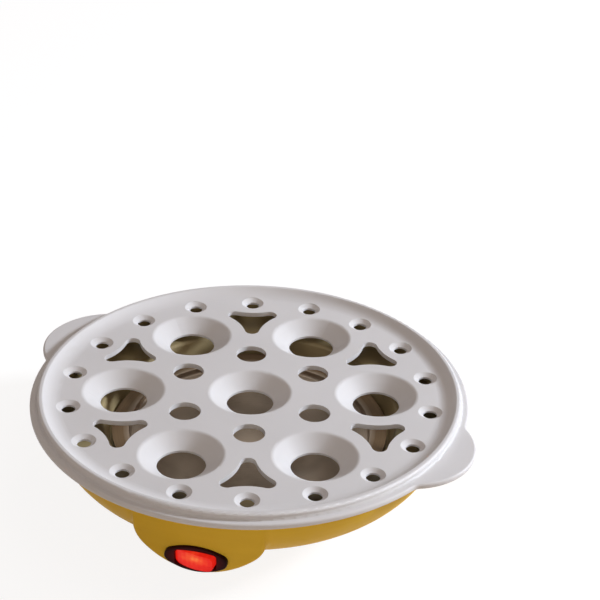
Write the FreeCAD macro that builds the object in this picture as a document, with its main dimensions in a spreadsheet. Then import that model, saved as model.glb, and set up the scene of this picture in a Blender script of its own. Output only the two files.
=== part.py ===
import FreeCAD, Part
import math
import os
import re
import Sketcher
from FreeCAD import Placement, Rotation, Vector

# Seven-egg steam cooker with its lid off.
# The origin is on the table under the middle of the bowl; +Z is up and the switch faces -Y.

SIZES = [
    ("deck_thick", 2.0, "thickness of the deck"),
    ("crest_rise", 2.8, "rim crest above the deck"),
    ("crest_width", 1.0, "flat of the rim crest"),
    ("crest_round", 1.0, "rounding of the rim crest"),
    ("rim_wall", 2.0, "wall of the raised rim"),
    ("rim_root", 0.8, "fillet between the rim and the flange"),
    ("flange_width", 3.0, "flange beyond the rim"),
    ("flange_thick", 2.4, "thickness of the flange and the ears"),
    ("flange_edge", 0.9, "rounding of the flange and ear edges"),
    ("seat_margin", 0.9, "tray's resting face beyond the funnel"),
    ("hollow_width", 3.5, "width of the hollow under the rim"),
    ("hollow_rise", 1.8, "height of the hollow under the rim"),
    ("sweep_width", 7.0, "width of the sweep from the flat deck up to the rim"),
    ("ear_reach", 8.9, "lifting ears beyond the flange"),
    ("ear_round", 26.5, "radius of an ear's outline"),
    ("ear_root", 5.0, "fillet between an ear and the flange"),
    ("tray_turn", -16.5, "how far the tray is turned on the bowl"),
    ("cup_count", 6, "egg seats round the middle one"),
    ("cup_inset", 21.6, "ring of egg seats inside the drip holes"),
    ("cup_mouth", 16.2, "radius of a seat's cone at the deck"),
    ("cup_hole", 9.35, "radius of the hole in a seat"),
    ("cup_depth", 5.0, "depth of a seat's cone"),
    ("cup_wall", 1.8, "wall of a seat below the deck"),
    ("cup_land", 0.9, "straight edge of the hole in a seat"),
    ("cup_round", 2.4, "rounding of a seat's upper edge"),
    ("steam_count", 6, "three-lobed steam holes"),
    ("steam_out", 6.9, "ring of steam holes outside that of the egg seats"),
    ("lobe_reach", 8.7, "lobe centres from the middle of a steam hole"),
    ("lobe_radius", 3.0, "radius of a lobe"),
    ("lobe_side", 22.4, "radius of the hollow side between two lobes"),
    ("inner_in", 21.2, "ring of round holes inside that of the egg seats"),
    ("inner_hole", 6.25, "radius of a round hole"),
    ("drip_count", 18, "dimpled drip holes"),
    ("drip_inset", 2.9, "ring of drip holes inside the edge of the flat deck"),
    ("drip_hole", 2.75, "radius of a drip hole"),
    ("dimple_radius", 4.75, "radius of the dimple round a drip hole"),
    ("dimple_depth", 1.2, "depth of that dimple"),
    ("guide_count", 6, "guide ribs under the deck"),
    ("guide_gap", 0.5, "guide ribs to the inside of the funnel's rim"),
    ("guide_thick", 2.0, "thickness of a guide rib"),
    ("guide_width", 9.0, "width of a guide rib"),
    ("guide_clear", 0.4, "guide ribs to the shoulder"),
    ("seat_gap", 0.3, "clearance between pieces that do not touch"),
    ("running_gap", 0.05, "radial clearance of pins, screws and stems in their holes"),
    ("bowl_round", 28.0, "radius of the bowl's side"),
    ("bowl_slope", 30.0, "slope of the bowl's lower cone"),
    ("bowl_wall", 2.2, "wall of the bowl"),
    ("bowl_floor", 4.0, "underside of the bowl above the table"),
    ("floor_room", 2.2, "floor to the sleeves under the thermostat"),
    ("floor_round", 8.0, "rounding between the floor and the cone"),
    ("chin_inset", 1.5, "chin's front behind the bowl's top edge, at the switch"),
    ("chin_below", 20.5, "middle of the switch below the bowl's top edge"),
    ("chin_tilt", 5.0, "lean of the chin's front and of the switch"),
    ("chin_half", 25.2, "half width of the chin"),
    ("chin_spring", 8.2, "where the chin's sides start to curve in"),
    ("chin_margin", 1.4, "plastic under the bezel"),
    ("chin_corner", 10.5, "radius of the chin's lower corners"),
    ("chin_band", 4.1, "band left above the space in the chin"),
    ("chin_depth", 32.0, "length of the chin, from in front of its face into the bowl"),
    ("chin_edge", 1.6, "rounding of the chin's front edge"),
    ("chin_root", 3.0, "fillet between the chin and the bowl"),
    ("boss_below", 15.3, "cord bush below the bowl's top edge"),
    ("boss_inset", 1.0, "face of the rear boss behind the bowl's top edge"),
    ("boss_margin", 1.9, "rear boss beyond the flange of the cord bush"),
    ("boss_wall", 2.4, "wall of the rear boss"),
    ("boss_length", 20.0, "length of the rear boss into the bowl"),
    ("post_count", 4, "screw posts"),
    ("post_turn", 45.0, "direction of the first post"),
    ("post_radius", 4.2, "radius of a post"),
    ("post_drop", 1.5, "tops of the screw posts below the funnel's ledge"),
    ("post_web", 2.4, "plastic between the screw head and the top of a post"),
    ("screw_radius", 1.5, "shank radius of the screws"),
    ("screw_head", 2.8, "head radius of the screws"),
    ("head_rise", 2.0, "height of a screw head"),
    ("screw_length", 7.5, "length of a housing screw under its head"),
    ("vent_count", 6, "vent slots in the floor"),
    ("vent_start", 12.0, "inner end of a vent slot"),
    ("vent_end", 26.0, "outer end of a vent slot"),
    ("vent_half", 1.3, "half width of a vent slot"),
    ("foot_inset", 10.9, "ring of feet inside the edge of the floor"),
    ("foot_radius", 5.5, "radius of a foot"),
    ("foot_stem", 2.2, "radius of a foot's stem"),
    ("foot_barb", 3.2, "radius of the barb above the floor"),
    ("foot_round", 0.8, "rounding of a foot's lower edge"),
    ("funnel_wall", 2.0, "wall of the funnel"),
    ("shoulder_width", 18.7, "inner edge of the shoulder to the outside of the funnel"),
    ("shoulder_rise", 1.8, "rise of the shoulder towards the rim"),
    ("lip_rise", 4.4, "height of the funnel's rim"),
    ("throat_flare", 2.6, "how much the throat widens to the shoulder"),
    ("throat_rise", 8.9, "height of the funnel's throat"),
    ("ledge_gap", 1.0, "well of the dish to the ledge"),
    ("ledge_width", 6.2, "width of the ledge for the dish"),
    ("gasket_thick", 1.0, "thickness of the gasket"),
    ("dish_gap", 1.0, "flange of the dish to the funnel's throat"),
    ("dish_metal", 0.7, "sheet thickness of the dish"),
    ("dish_depth", 2.7, "depth of the dish"),
    ("dish_bend", 1.0, "inside bend of the dish"),
    ("spreader_margin", 10.0, "heat spreader beyond the middle of the element"),
    ("spreader_thick", 2.5, "thickness of the heat spreader"),
    ("clamp_room", 3.0, "heat spreader to the clamp ring"),
    ("clamp_edge", 0.8, "metal inside the stud holes of the clamp ring"),
    ("clamp_gap", 1.2, "edge of the clamp ring inside that of the ledge"),
    ("clamp_thick", 1.2, "thickness of the clamp ring"),
    ("stud_count", 3, "studs under the dish"),
    ("stud_room", 0.2, "studs to the bend of the dish"),
    ("stud_turn", 30.0, "direction of the first stud"),
    ("stud_length", 5.4, "length of a stud"),
    ("nut_half", 2.75, "half width of a nut across its flats"),
    ("nut_height", 2.4, "height of a nut"),
    ("element_room", 1.4, "clip screw to the element's sheath"),
    ("element_radius", 3.3, "radius of the element's sheath"),
    ("element_flat", 2.9, "flat of the sheath above its middle"),
    ("element_gap", 60.0, "angle left open at the back"),
    ("pin_radius", 1.1, "radius of an element pin"),
    ("pin_length", 9.0, "length of an element pin"),
    ("seal_radius", 2.6, "radius of an end seal"),
    ("seal_length", 3.0, "length of an end seal"),
    ("thermo_radius", 8.0, "radius of the thermostat"),
    ("cap_height", 3.6, "height of the sensing cap"),
    ("ear_plate", 0.8, "thickness of the thermostat's ears"),
    ("ear_out", 4.0, "thermostat screws beyond the thermostat's side"),
    ("ear_half", 4.0, "half width of the thermostat's ears"),
    ("thermo_height", 5.4, "height of the moulded body"),
    ("tab_thick", 0.8, "thickness of a spade tab"),
    ("tab_half", 2.4, "half width of a spade tab"),
    ("thermo_show", 8.0, "thermostat tabs beyond the thermostat's side"),
    ("fuse_out", 8.0, "fuse in front of the thermostat's side"),
    ("fuse_radius", 2.5, "radius of the fuse's sleeve"),
    ("fuse_half", 9.0, "half length of the fuse's sleeve"),
    ("clip_metal", 0.7, "sheet thickness of the fuse clip"),
    ("clip_half", 3.5, "half length of the clip along the fuse"),
    ("clip_foot", 6.5, "length of the clip's foot"),
    ("bezel_lap", 3.3, "bezel beyond the ends of the case"),
    ("bezel_brow", 1.0, "bezel above and below the case"),
    ("bezel_point", 2.65, "how much tighter the bezel's ends are than a half circle"),
    ("bezel_proud", 2.0, "bezel in front of its seat in the chin"),
    ("bezel_edge", 0.6, "rounding of the bezel"),
    ("case_length", 8.6, "half length of the switch's case"),
    ("case_height", 4.85, "half height of the case"),
    ("case_side", 40.0, "radius of the case's long sides"),
    ("case_corner", 2.0, "corner radius of the case"),
    ("case_wall", 0.7, "wall of the case"),
    ("case_floor", 1.5, "floor of the case"),
    ("rocker_rest", 10.0, "tilt of the rocker from its middle, either way"),
    ("rocker_step", 0.2, "rocker's face inside the sweep of its ends"),
    ("rocker_rise", 0.2, "ends of the rocker's face in front of the bezel, at its middle tilt"),
    ("rocker_sag", 0.7, "hollow of the rocker's face"),
    ("rocker_back", 4.0, "back edge of the rocker behind its pivot"),
    ("rocker_skin", 1.2, "wall of the rocker"),
    ("rocker_corner", 2.6, "corner radius of the rocker's face"),
    ("pivot_radius", 1.2, "radius of the rocker's pivots"),
    ("pivot_skin", 0.1, "wall left behind a pivot hole"),
    ("plunger_radius", 1.4, "radius of the plunger"),
    ("plunger_start", 1.0, "inner end of the plunger behind the pivot"),
    ("plunger_nose", 1.7, "plunger beyond the rocker"),
    ("sleeve_wall", 1.0, "wall round the plunger"),
    ("lamp_radius", 1.25, "radius of the glow lamp"),
    ("lamp_gap", 0.4, "glow lamp to the rocker's sides"),
    ("blade_gap", 0.4, "see-saw contact to the plunger, at the middle tilt"),
    ("blade_half", 6.5, "half length of the see-saw contact"),
    ("blade_thick", 0.7, "thickness of the see-saw contact"),
    ("blade_width", 1.9, "half width of the see-saw contact"),
    ("blade_rest", 6.0, "tilt of the see-saw contact from its middle, either way"),
    ("tab_spacing", 5.6, "outer spade tabs from the middle one"),
    ("tab_stub", 0.77, "outer spade tabs inside the case"),
    ("tab_show", 5.6, "spade tabs behind the case"),
    ("socket_wall", 0.7, "wall of a sleeve above and below its tab"),
    ("socket_cheek", 1.3, "wall of a sleeve beside its tab"),
    ("socket_clear", 0.8, "sleeves to the case"),
    ("socket_floor", 0.9, "closed end of a tab's sleeve"),
    ("lead_radius", 1.1, "radius of the internal leads"),
    ("lead_bend", 3.0, "bend radius of the internal leads"),
    ("lead_inset", 1.0, "ring of the leads inside the clamp ring's edge"),
    ("lead_drop", 5.3, "leads round the base below the clamp ring"),
    ("crimp_radius", 2.6, "radius of a crimp cap"),
    ("crimp_length", 9.0, "length of a crimp cap"),
    ("crimp_inset", 4.0, "open ends of the crimp caps inside the ring of the leads"),
    ("crimp_side", 10.0, "crimp caps to each side of the middle"),
    ("crimp_clear", 0.4, "crimp caps to the clamp ring"),
    ("bush_bore", 3.25, "bore of the cord bush"),
    ("bush_wall", 1.35, "wall of the cord bush"),
    ("lip_out", 1.0, "inner lip of the cord bush beyond its neck"),
    ("flange_out", 2.0, "flange of the cord bush beyond its neck"),
    ("bush_lip_length", 1.6, "length of the inner lip"),
    ("bush_proud", 2.2, "flange in front of the rear boss"),
]

# Radii from the middle outwards, heights from the table upwards, and fits, all worked out from the sizes.
DERIVED = {
    "fuse_place": "thermo_radius + fuse_out",
    "thermo_tab": "thermo_radius + thermo_show",
    "ear_span": "thermo_radius + ear_out",
    "element_ring": "fuse_place + clip_foot + screw_head + element_radius + element_room",
    "spreader_radius": "element_ring + spreader_margin",
    "clamp_inner": "spreader_radius + clamp_room",
    "stud_ring": "clamp_inner + screw_radius + seat_gap + clamp_edge",
    "dish_well": "stud_ring + screw_radius + dish_bend + dish_metal + stud_room",
    "ledge_opening": "dish_well + ledge_gap",
    "ledge_radius": "ledge_opening + ledge_width",
    "dish_radius": "ledge_radius - dish_gap",
    "clamp_outer": "ledge_radius - clamp_gap",
    "throat_radius": "ledge_radius + throat_flare",
    "post_ring": "throat_radius + post_radius",
    "funnel_radius": "throat_radius + shoulder_width",
    "bowl_radius": "funnel_radius + seat_gap + bowl_wall",
    "chin_radius": "bowl_radius - chin_inset",
    "boss_reach": "bowl_radius - boss_inset",
    "guide_radius": "funnel_radius - funnel_wall - guide_gap",
    "seat_outer": "funnel_radius + seat_margin",
    "hollow_outer": "seat_outer + hollow_width",
    "rim_radius": "hollow_outer + rim_wall",
    "flange_radius": "rim_radius + flange_width",
    "ear_tip": "flange_radius + ear_reach",
    "crest_inner": "rim_radius - crest_round - crest_width",
    "deck_radius": "crest_inner - sweep_width",
    "drip_ring": "deck_radius - drip_inset",
    "cup_ring": "drip_ring - cup_inset",
    "steam_ring": "cup_ring + steam_out",
    "inner_ring": "cup_ring - inner_in",
    "lead_ring": "clamp_outer - lead_inset",
    "crimp_back": "lead_ring - crimp_inset",
    "floor_top": "bowl_floor + bowl_wall",
    "tab_level": "floor_top + floor_room + socket_side",
    "thermo_under": "tab_level + tab_thick / 2",
    "ear_under": "thermo_under + thermo_height",
    "cap_under": "ear_under + ear_plate",
    "spreader_under": "cap_under + cap_height",
    "fuse_middle": "spreader_under - fuse_radius - running_gap",
    "element_middle": "spreader_under - element_flat",
    "dish_under": "spreader_under + spreader_thick",
    "dish_flange": "dish_under + dish_depth",
    "ledge_height": "dish_flange - gasket_thick",
    "ledge_under": "ledge_height - funnel_wall",
    "clamp_under": "ledge_under - clamp_thick",
    "post_top": "ledge_under - post_drop",
    "crimp_height": "clamp_under - crimp_radius - crimp_clear",
    "lead_height": "clamp_under - lead_drop",
    "shoulder_inner": "ledge_height + throat_rise",
    "shoulder_outer": "shoulder_inner + shoulder_rise",
    "seat_level": "shoulder_outer + lip_rise",
    "guide_drop": "lip_rise - guide_clear",
    "bowl_top": "seat_level - seat_gap",
    "deck_height": "seat_level + flange_thick",
    "deck_under": "deck_height - deck_thick",
    "chin_height": "bowl_top - chin_below",
    "boss_height": "bowl_top - boss_below",
    "knee_radius": "bowl_radius - bowl_round * (1 - sin(bowl_slope))",
    "knee_height": "bowl_top - bowl_round * cos(bowl_slope)",
    "floor_edge": "knee_radius - (knee_height - bowl_floor) / tan(bowl_slope)",
    "foot_ring": "floor_edge - foot_inset",
    "bezel_length": "case_length + bezel_lap",
    "bezel_height": "case_height + bezel_brow",
    "bezel_end": "bezel_height - bezel_point",
    "chin_drop": "chin_spring + bezel_height + chin_margin",
    "chin_top": "chin_below + bowl_wall * 2",
    "chin_ceiling": "chin_below - chin_band",
    "switch_reach": "chin_radius - bezel_length^2 / (2 * chin_radius)",
    "rocker_sweep": "case_length - case_wall - seat_gap",
    "rocker_end": "rocker_sweep - rocker_step",
    "rocker_front": "bezel_proud + rocker_rise",
    "rocker_gap": "seat_gap * 1.5",
    "rocker_high": "case_height - case_wall - rocker_gap",
    "rocker_deep": "rocker_skin - rocker_front + rocker_sag",
    "rocker_room": "rocker_end - rocker_skin",
    "tube_radius": "plunger_radius + running_gap + sleeve_wall",
    "lamp_place": "(tube_radius + rocker_room) / 2",
    "bead_radius": "blade_thick * 0.9",
    "lamp_deep": "rocker_deep + lamp_radius + seat_gap",
    "lamp_half": "rocker_high - rocker_skin - lamp_gap",
    "pivot_reach": "case_wall - pivot_skin",
    "plunger_tip": "rocker_back + plunger_nose",
    "blade_pivot": "plunger_tip + blade_thick + blade_gap",
    "contact_reach": "blade_pivot + blade_half * tan(blade_rest) + blade_thick / 2 + seat_gap",
    "case_depth": "contact_reach + tab_stub + case_floor",
    "tab_reach": "case_depth + tab_show",
    "socket_length": "tab_show - socket_clear",
    "socket_half": "tab_half + socket_wall",
    "socket_side": "tab_thick / 2 + socket_cheek",
    "bush_neck": "bush_bore + bush_wall",
    "bush_lip": "bush_neck + lip_out",
    "bush_flange": "bush_neck + flange_out",
    "boss_radius": "bush_flange + boss_margin",
}

doc = FreeCAD.newDocument("EggCooker")
sheet = doc.addObject("Spreadsheet::Sheet", "Sizes")
for row, (alias, number, meaning) in enumerate(SIZES, 1):
    sheet.set(f"A{row}", meaning)
    sheet.set(f"B{row}", str(number))
    sheet.setAlias(f"B{row}", alias)
doc.recompute()

ALIASES = {alias for alias, number, meaning in SIZES}
WORD = re.compile(r"[a-z_]+")

NODES = []


def cell(word):
    """A size as its cell of the sheet, and a derived value as what it is worked out from."""
    if word[0] in DERIVED:
        return f"({bound(DERIVED[word[0]])})"
    return "Sizes." + word[0] if word[0] in ALIASES else word[0]


def bound(text):
    """The text as an expression over the sheet's cells."""
    return WORD.sub(cell, text)


def value(text):
    """The number that an expression over the sheet gives now."""
    return float(sheet.evalExpression(bound(text)))


def node(label, kind="PartDesign::Body"):
    """A new sub-part, which is exported under its label."""
    made = doc.addObject(kind, label)
    made.Label = label
    NODES.append(made)
    return made


def bind(made, **texts):
    """Bind properties to expressions; a double underscore in a name stands for a dot."""
    for name, text in texts.items():
        made.setExpression(name.replace("__", "."), bound(text))


def origin_feature(body, role):
    return [feature for feature in body.Origin.OriginFeatures if feature.Role == role][0]


def sketch_on(body, plane, lift=None, turn=None):
    """A sketch on an origin plane, lifted off it and turned about the vertical axis."""
    sketch = body.newObject("Sketcher::SketchObject", "Sketch")
    sketch.AttachmentSupport = (origin_feature(body, plane), [""])
    sketch.MapMode = "FlatFace"
    if turn:
        axis = Vector(0, 0, 1) if plane == "XY_Plane" else Vector(0, 1, 0)
        sketch.AttachmentOffset = Placement(Vector(), Rotation(axis, value(turn)))
        sketch.setExpression("AttachmentOffset.Rotation.Angle", f"({bound(turn)}) * 1 deg")
    if lift:
        bind(sketch, AttachmentOffset__Base__z=lift)
    return sketch


def hold(sketch, geometry, position, across, along):
    """Dimension one point of a sketch from its origin."""
    for kind, axis, text in (("DistanceX", -2, across), ("DistanceY", -1, along)):
        if text == "0":
            sketch.addConstraint(Sketcher.Constraint("PointOnObject", geometry, position, axis))
            continue
        number = sketch.addConstraint(Sketcher.Constraint(kind, -1, 1, geometry, position, value(text)))
        sketch.setExpression(f"Constraints[{number}]", bound(text))


def dimension_radius(sketch, geometry, text):
    number = sketch.addConstraint(Sketcher.Constraint("Radius", geometry, value(text)))
    sketch.setExpression(f"Constraints[{number}]", bound(text))


def arc_between(start, end, radius, turn):
    """The shorter arc from start to end; turn says to which side it bends."""
    chord = end - start
    rise = math.sqrt(max(radius ** 2 - chord.Length ** 2 / 4, 0))
    left = Vector(-chord.y, chord.x, 0).normalize()
    centre = (start + end) / 2 + left * (rise if turn == "left" else -rise)
    first, last = (start, end) if turn == "left" else (end, start)
    angles = [math.atan2(point.y - centre.y, point.x - centre.x) for point in (first, last)]
    if angles[1] < angles[0]:
        angles[1] += 2 * math.pi
    return Part.ArcOfCircle(Part.Circle(centre, Vector(0, 0, 1), radius), *angles)


def outline(sketch, corners):
    """A closed outline. A corner is (across, along), and an arc leaves it where (radius, turn) follow."""
    points = [Vector(value(corner[0]), value(corner[1]), 0) for corner in corners]
    runs = []
    for corner, start, end in zip(corners, points, points[1:] + points[:1]):
        if len(corner) == 2:
            runs.append((sketch.addGeometry(Part.LineSegment(start, end), False), 1, 2))
            continue
        arc = arc_between(start, end, value(corner[2]), corner[3])
        ends = (1, 2) if corner[3] == "left" else (2, 1)
        runs.append((sketch.addGeometry(arc, False), *ends))
    for run, following in zip(runs, runs[1:] + runs[:1]):
        sketch.addConstraint(Sketcher.Constraint("Coincident", run[0], run[2], following[0], following[1]))
    for run, corner in zip(runs, corners):
        hold(sketch, run[0], run[1], corner[0], corner[1])
        if len(corner) == 4:
            dimension_radius(sketch, run[0], corner[2])
    return sketch


def circle(sketch, across, along, radius):
    made = sketch.addGeometry(Part.Circle(Vector(value(across), value(along), 0), Vector(0, 0, 1),
                                          value(radius)), False)
    hold(sketch, made, 3, across, along)
    dimension_radius(sketch, made, radius)
    return sketch


def axis_line(sketch, across):
    """An upright construction line to turn a profile about."""
    start = Vector(value(across), 0, 0)
    line = sketch.addGeometry(Part.LineSegment(start, start + Vector(0, 9, 0)), True)
    sketch.addConstraint(Sketcher.Constraint("Vertical", line))
    sketch.addConstraint(Sketcher.Constraint("PointOnObject", line, 1, -1))
    hold_x = sketch.addConstraint(Sketcher.Constraint("DistanceX", -1, 1, line, 1, value(across)))
    sketch.setExpression(f"Constraints[{hold_x}]", bound(across))
    return sketch


def box_corners(left, right, low, high):
    return [(left, low), (right, low), (right, high), (left, high)]


def turned(body, kind, corners, across=None, turn=None, angle="360"):
    """A Revolution or Groove of a profile about the vertical axis, or about an upright line beside it."""
    sketch = outline(sketch_on(body, "XZ_Plane", turn=turn), corners)
    if across:
        axis_line(sketch, across)
    made = body.newObject("PartDesign::" + kind, kind)
    made.Profile = sketch
    made.ReferenceAxis = (sketch, ["Axis0" if across else "V_Axis"])
    bind(made, Angle=angle)
    return made


def raised(body, kind, sketch, length, reverse=False, both_ways=False):
    """A Pad or Pocket of a sketch."""
    made = body.newObject("PartDesign::" + kind, kind)
    made.Profile = sketch
    made.Reversed = reverse
    made.Midplane = both_ways
    bind(made, Length=length)
    return made


def ring_of(body, features, count):
    """The features again all round the vertical axis."""
    made = body.newObject("PartDesign::PolarPattern", "PolarPattern")
    made.Originals = features
    made.Axis = (origin_feature(body, "Z_Axis"), [""])
    made.Angle = 360
    bind(made, Occurrences=count)
    body.Tip = made
    return made


def rounded(body, radius, picks):
    """Fillet the edges of the body's last feature for which picks(edge) is true."""
    doc.recompute()
    base = body.Tip
    names = [f"Edge{i}" for i, edge in enumerate(base.Shape.Edges, 1) if picks(edge)]
    made = body.newObject("PartDesign::Fillet", "Fillet")
    made.Base = (base, names)
    bind(made, Radius=radius)
    return made


def level(edge, height):
    """Whether an edge lies in a level plane."""
    box = edge.BoundBox
    return abs(box.ZMin - height) < 0.01 and abs(box.ZMax - height) < 0.01


def from_axis(edge):
    """The least distance of an edge's ends and middle from the vertical axis."""
    middle = edge.valueAt((edge.FirstParameter + edge.LastParameter) / 2)
    points = [vertex.Point for vertex in edge.Vertexes] + [middle]
    return min(math.hypot(point.x, point.y) for point in points)


def spin(body, angle):
    """Turn a whole body about the vertical axis."""
    body.Placement = Placement(Vector(), Rotation(Vector(0, 0, 1), value(angle)))
    body.setExpression("Placement.Rotation.Angle", f"({bound(angle)}) * 1 deg")


# The egg tray


def seat_profiles(across):
    """The wall of an egg seat under the deck, and the cone with its hole and rounded edge."""
    bottom = "deck_height - cup_depth - cup_land"
    side = "atan(cup_depth / (cup_mouth - cup_hole))"
    tangent = f"cup_round * tan({side} / 2)"
    wall = [(across, bottom), (f"{across} + cup_hole + cup_wall", bottom),
            (f"{across} + cup_mouth + cup_wall", "deck_height - deck_thick / 2"),
            (across, "deck_height - deck_thick / 2")]
    cone = [(across, f"{bottom} - cup_land"), (f"{across} + cup_hole", f"{bottom} - cup_land"),
            (f"{across} + cup_hole", "deck_height - cup_depth"),
            (f"{across} + cup_mouth - {tangent} * cos({side})", f"deck_height - {tangent} * sin({side})",
             "cup_round", "right"),
            (f"{across} + cup_mouth + {tangent}", "deck_height"),
            (f"{across} + cup_mouth + {tangent}", "deck_height + cup_land"),
            (across, "deck_height + cup_land")]
    return wall, cone


def steam_hole(sketch):
    """Three lobes joined by hollow sides; the first lobe points to the middle of the tray."""
    lobes = [180, 300, 60]
    centres = [(f"steam_ring + lobe_reach * cos({angle})", f"lobe_reach * sin({angle})") for angle in lobes]
    apart = "lobe_reach * sqrt(3) / 2"
    tilt = f"acos({apart} / (lobe_side + lobe_radius))"
    corners = []
    for (across, along), angle in zip(centres, lobes):
        for lean, radius, bend in ((-1, "lobe_radius", "left"), (1, "lobe_side", "right")):
            way = f"({angle} deg + {lean} * (150 deg - {tilt}))"
            corners.append((f"{across} + lobe_radius * cos{way}", f"{along} + lobe_radius * sin{way}",
                            radius, bend))
    return outline(sketch, corners)


def egg_tray():
    tray = node("egg_tray")
    sweep = "(sweep_width^2 + crest_rise^2) / (2 * crest_rise)"
    crest = "deck_height + crest_rise"
    turned(tray, "Revolution", [
        ("0", "deck_under"), ("guide_radius", "deck_under"), ("guide_radius", "seat_level"),
        ("seat_outer", "seat_level"),
        ("seat_outer", "seat_level + hollow_rise"), ("hollow_outer", "seat_level + hollow_rise"),
        ("hollow_outer", "seat_level"), ("flange_radius", "seat_level"), ("flange_radius", "deck_height"),
        ("rim_radius + rim_root", "deck_height", "rim_root", "right"),
        ("rim_radius", "deck_height + rim_root"),
        ("rim_radius", f"{crest} - crest_round", "crest_round", "left"),
        ("rim_radius - crest_round", crest), ("crest_inner", crest, sweep, "right"),
        ("deck_radius", "deck_height"), ("0", "deck_height")])
    rounded(tray, "crest_width * 0.6", lambda edge: level(edge, value("deck_height + crest_rise"))
            and from_axis(edge) < value("crest_inner + crest_width / 2"))

    # Lifting ears, with fillets that run into the flange.
    middle = "(ear_tip - ear_round)"
    root_x = f"(((flange_radius + ear_root)^2 - (ear_round + ear_root)^2 + {middle}^2) / (2 * {middle}))"
    root_y = f"sqrt((flange_radius + ear_root)^2 - {root_x}^2)"
    on_flange = "flange_radius / (flange_radius + ear_root)"
    on_ear = "ear_round / (ear_round + ear_root)"
    start = (f"{root_x} * {on_flange}", f"{root_y} * {on_flange}")
    bend = (f"{middle} + ({root_x} - {middle}) * {on_ear}", f"{root_y} * {on_ear}")
    ear = outline(sketch_on(tray, "XY_Plane", lift="seat_level"), [
        (start[0], f"-({start[1]})", "ear_root", "right"), (bend[0], f"-({bend[1]})", "ear_round", "left"),
        ("ear_tip", "0", "ear_round", "left"), (bend[0], bend[1], "ear_root", "right"), start])
    ring_of(tray, [raised(tray, "Pad", ear, "flange_thick")], "2")
    edges = (value("deck_height"), value("seat_level"))
    rounded(tray, "flange_edge", lambda edge: from_axis(edge) > value("flange_radius") - 0.05
            and any(level(edge, height) for height in edges))

    # Egg seats.
    ring_wall, ring_cone = seat_profiles("cup_ring")
    middle_wall, middle_cone = seat_profiles("0")
    first = "180 / cup_count"
    ring_of(tray, [turned(tray, "Revolution", ring_wall, "cup_ring", first)], "cup_count")
    turned(tray, "Revolution", middle_wall)
    ring_of(tray, [turned(tray, "Groove", ring_cone, "cup_ring", first)], "cup_count")
    turned(tray, "Groove", middle_cone)

    # Holes through the deck.
    through = "deck_thick + cup_land"
    steam = steam_hole(sketch_on(tray, "XY_Plane", lift="deck_height"))
    ring_of(tray, [raised(tray, "Pocket", steam, through)], "steam_count")
    hole = circle(sketch_on(tray, "XY_Plane", lift="deck_height"), "inner_ring", "0", "inner_hole")
    ring_of(tray, [raised(tray, "Pocket", hole, through)], "steam_count")
    low = "deck_under - cup_land"
    drip = turned(tray, "Groove", [
        ("drip_ring", low), ("drip_ring + drip_hole", low),
        ("drip_ring + drip_hole", "deck_height - dimple_depth"), ("drip_ring + dimple_radius", "deck_height"),
        ("drip_ring + dimple_radius", "deck_height + cup_land"), ("drip_ring", "deck_height + cup_land")],
        "drip_ring")
    ring_of(tray, [drip], "drip_count")

    # Guide ribs that keep the tray in the middle of the funnel, between the drip holes.
    rib = outline(sketch_on(tray, "XY_Plane", lift="deck_height - deck_thick / 2", turn="180 / drip_count"),
                  box_corners("guide_radius - guide_thick", "guide_radius", "-guide_width / 2",
                              "guide_width / 2"))
    rib_pad = raised(tray, "Pad", rib, "guide_drop + flange_thick - deck_thick / 2", reverse=True)
    ring_of(tray, [rib_pad], "guide_count")
    spin(tray, "tray_turn")


# The bowl and the funnel


def bowl_corners(inset):
    """The half section of the bowl, as far inside its outer skin as inset says."""
    side = f"(bowl_round - {inset})"
    knee = (f"(bowl_radius - bowl_round + {side} * sin(bowl_slope))",
            f"(bowl_top - {side} * cos(bowl_slope))")
    ground = f"(bowl_floor + {inset})"
    edge = f"({knee[0]} - ({knee[1]} - {ground}) / tan(bowl_slope))"
    tangent = f"((floor_round - {inset}) * tan(bowl_slope / 2))"
    return [("0", ground), (f"{edge} - {tangent}", ground, f"floor_round - {inset}", "left"),
            (f"{edge} + {tangent} * cos(bowl_slope)", f"{ground} + {tangent} * sin(bowl_slope)"),
            (*knee, side, "left"), (f"bowl_radius - {inset}", "bowl_top"), ("0", "bowl_top")]


def chin_sketch(body, setback="0"):
    """A sketch on the bezel's leaning seat in the chin, or set back behind it."""
    sketch = body.newObject("Sketcher::SketchObject", "Sketch")
    sketch.AttachmentSupport = (origin_feature(body, "XZ_Plane"), [""])
    sketch.MapMode = "FlatFace"
    sketch.AttachmentOffset = Placement(Vector(), Rotation(Vector(1, 0, 0), value("chin_tilt")))
    sketch.setExpression("AttachmentOffset.Rotation.Angle", f"({bound('chin_tilt')}) * 1 deg")
    bind(sketch, AttachmentOffset__Base__y=f"chin_height + ({setback}) * sin(chin_tilt)",
         AttachmentOffset__Base__z=f"switch_reach - ({setback}) * cos(chin_tilt)")
    return sketch


def chin_corners(inset, top):
    """The chin's outline: upright sides that run into a basket arch below."""
    bottom_round = ("(((chin_half - chin_corner)^2 + chin_drop^2 - chin_corner^2)"
                    " / (2 * (chin_drop - chin_corner)))")
    arch = f"(chin_spring - chin_drop + {bottom_round})"
    share = f"(({bottom_round} - {inset}) / ({bottom_round} - chin_corner))"
    meet = (f"(chin_half - chin_corner) * {share}", f"{arch} - ({arch} - chin_spring) * {share}")
    side = f"(chin_half - {inset})"
    corner_round = f"chin_corner - {inset}"
    return [(f"-{side}", top), (f"-{side}", "chin_spring", corner_round, "left"),
            (f"-{meet[0]}", meet[1], f"{bottom_round} - {inset}", "left"),
            (*meet, corner_round, "left"), (side, "chin_spring"), (side, top)]


def rear_sketch(body, reach):
    """A sketch across the cord bush's axis at the back, with its origin on that axis."""
    sketch = sketch_on(body, "XZ_Plane", lift=f"-({reach})")
    bind(sketch, AttachmentOffset__Base__y="boss_height")
    return sketch


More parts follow.
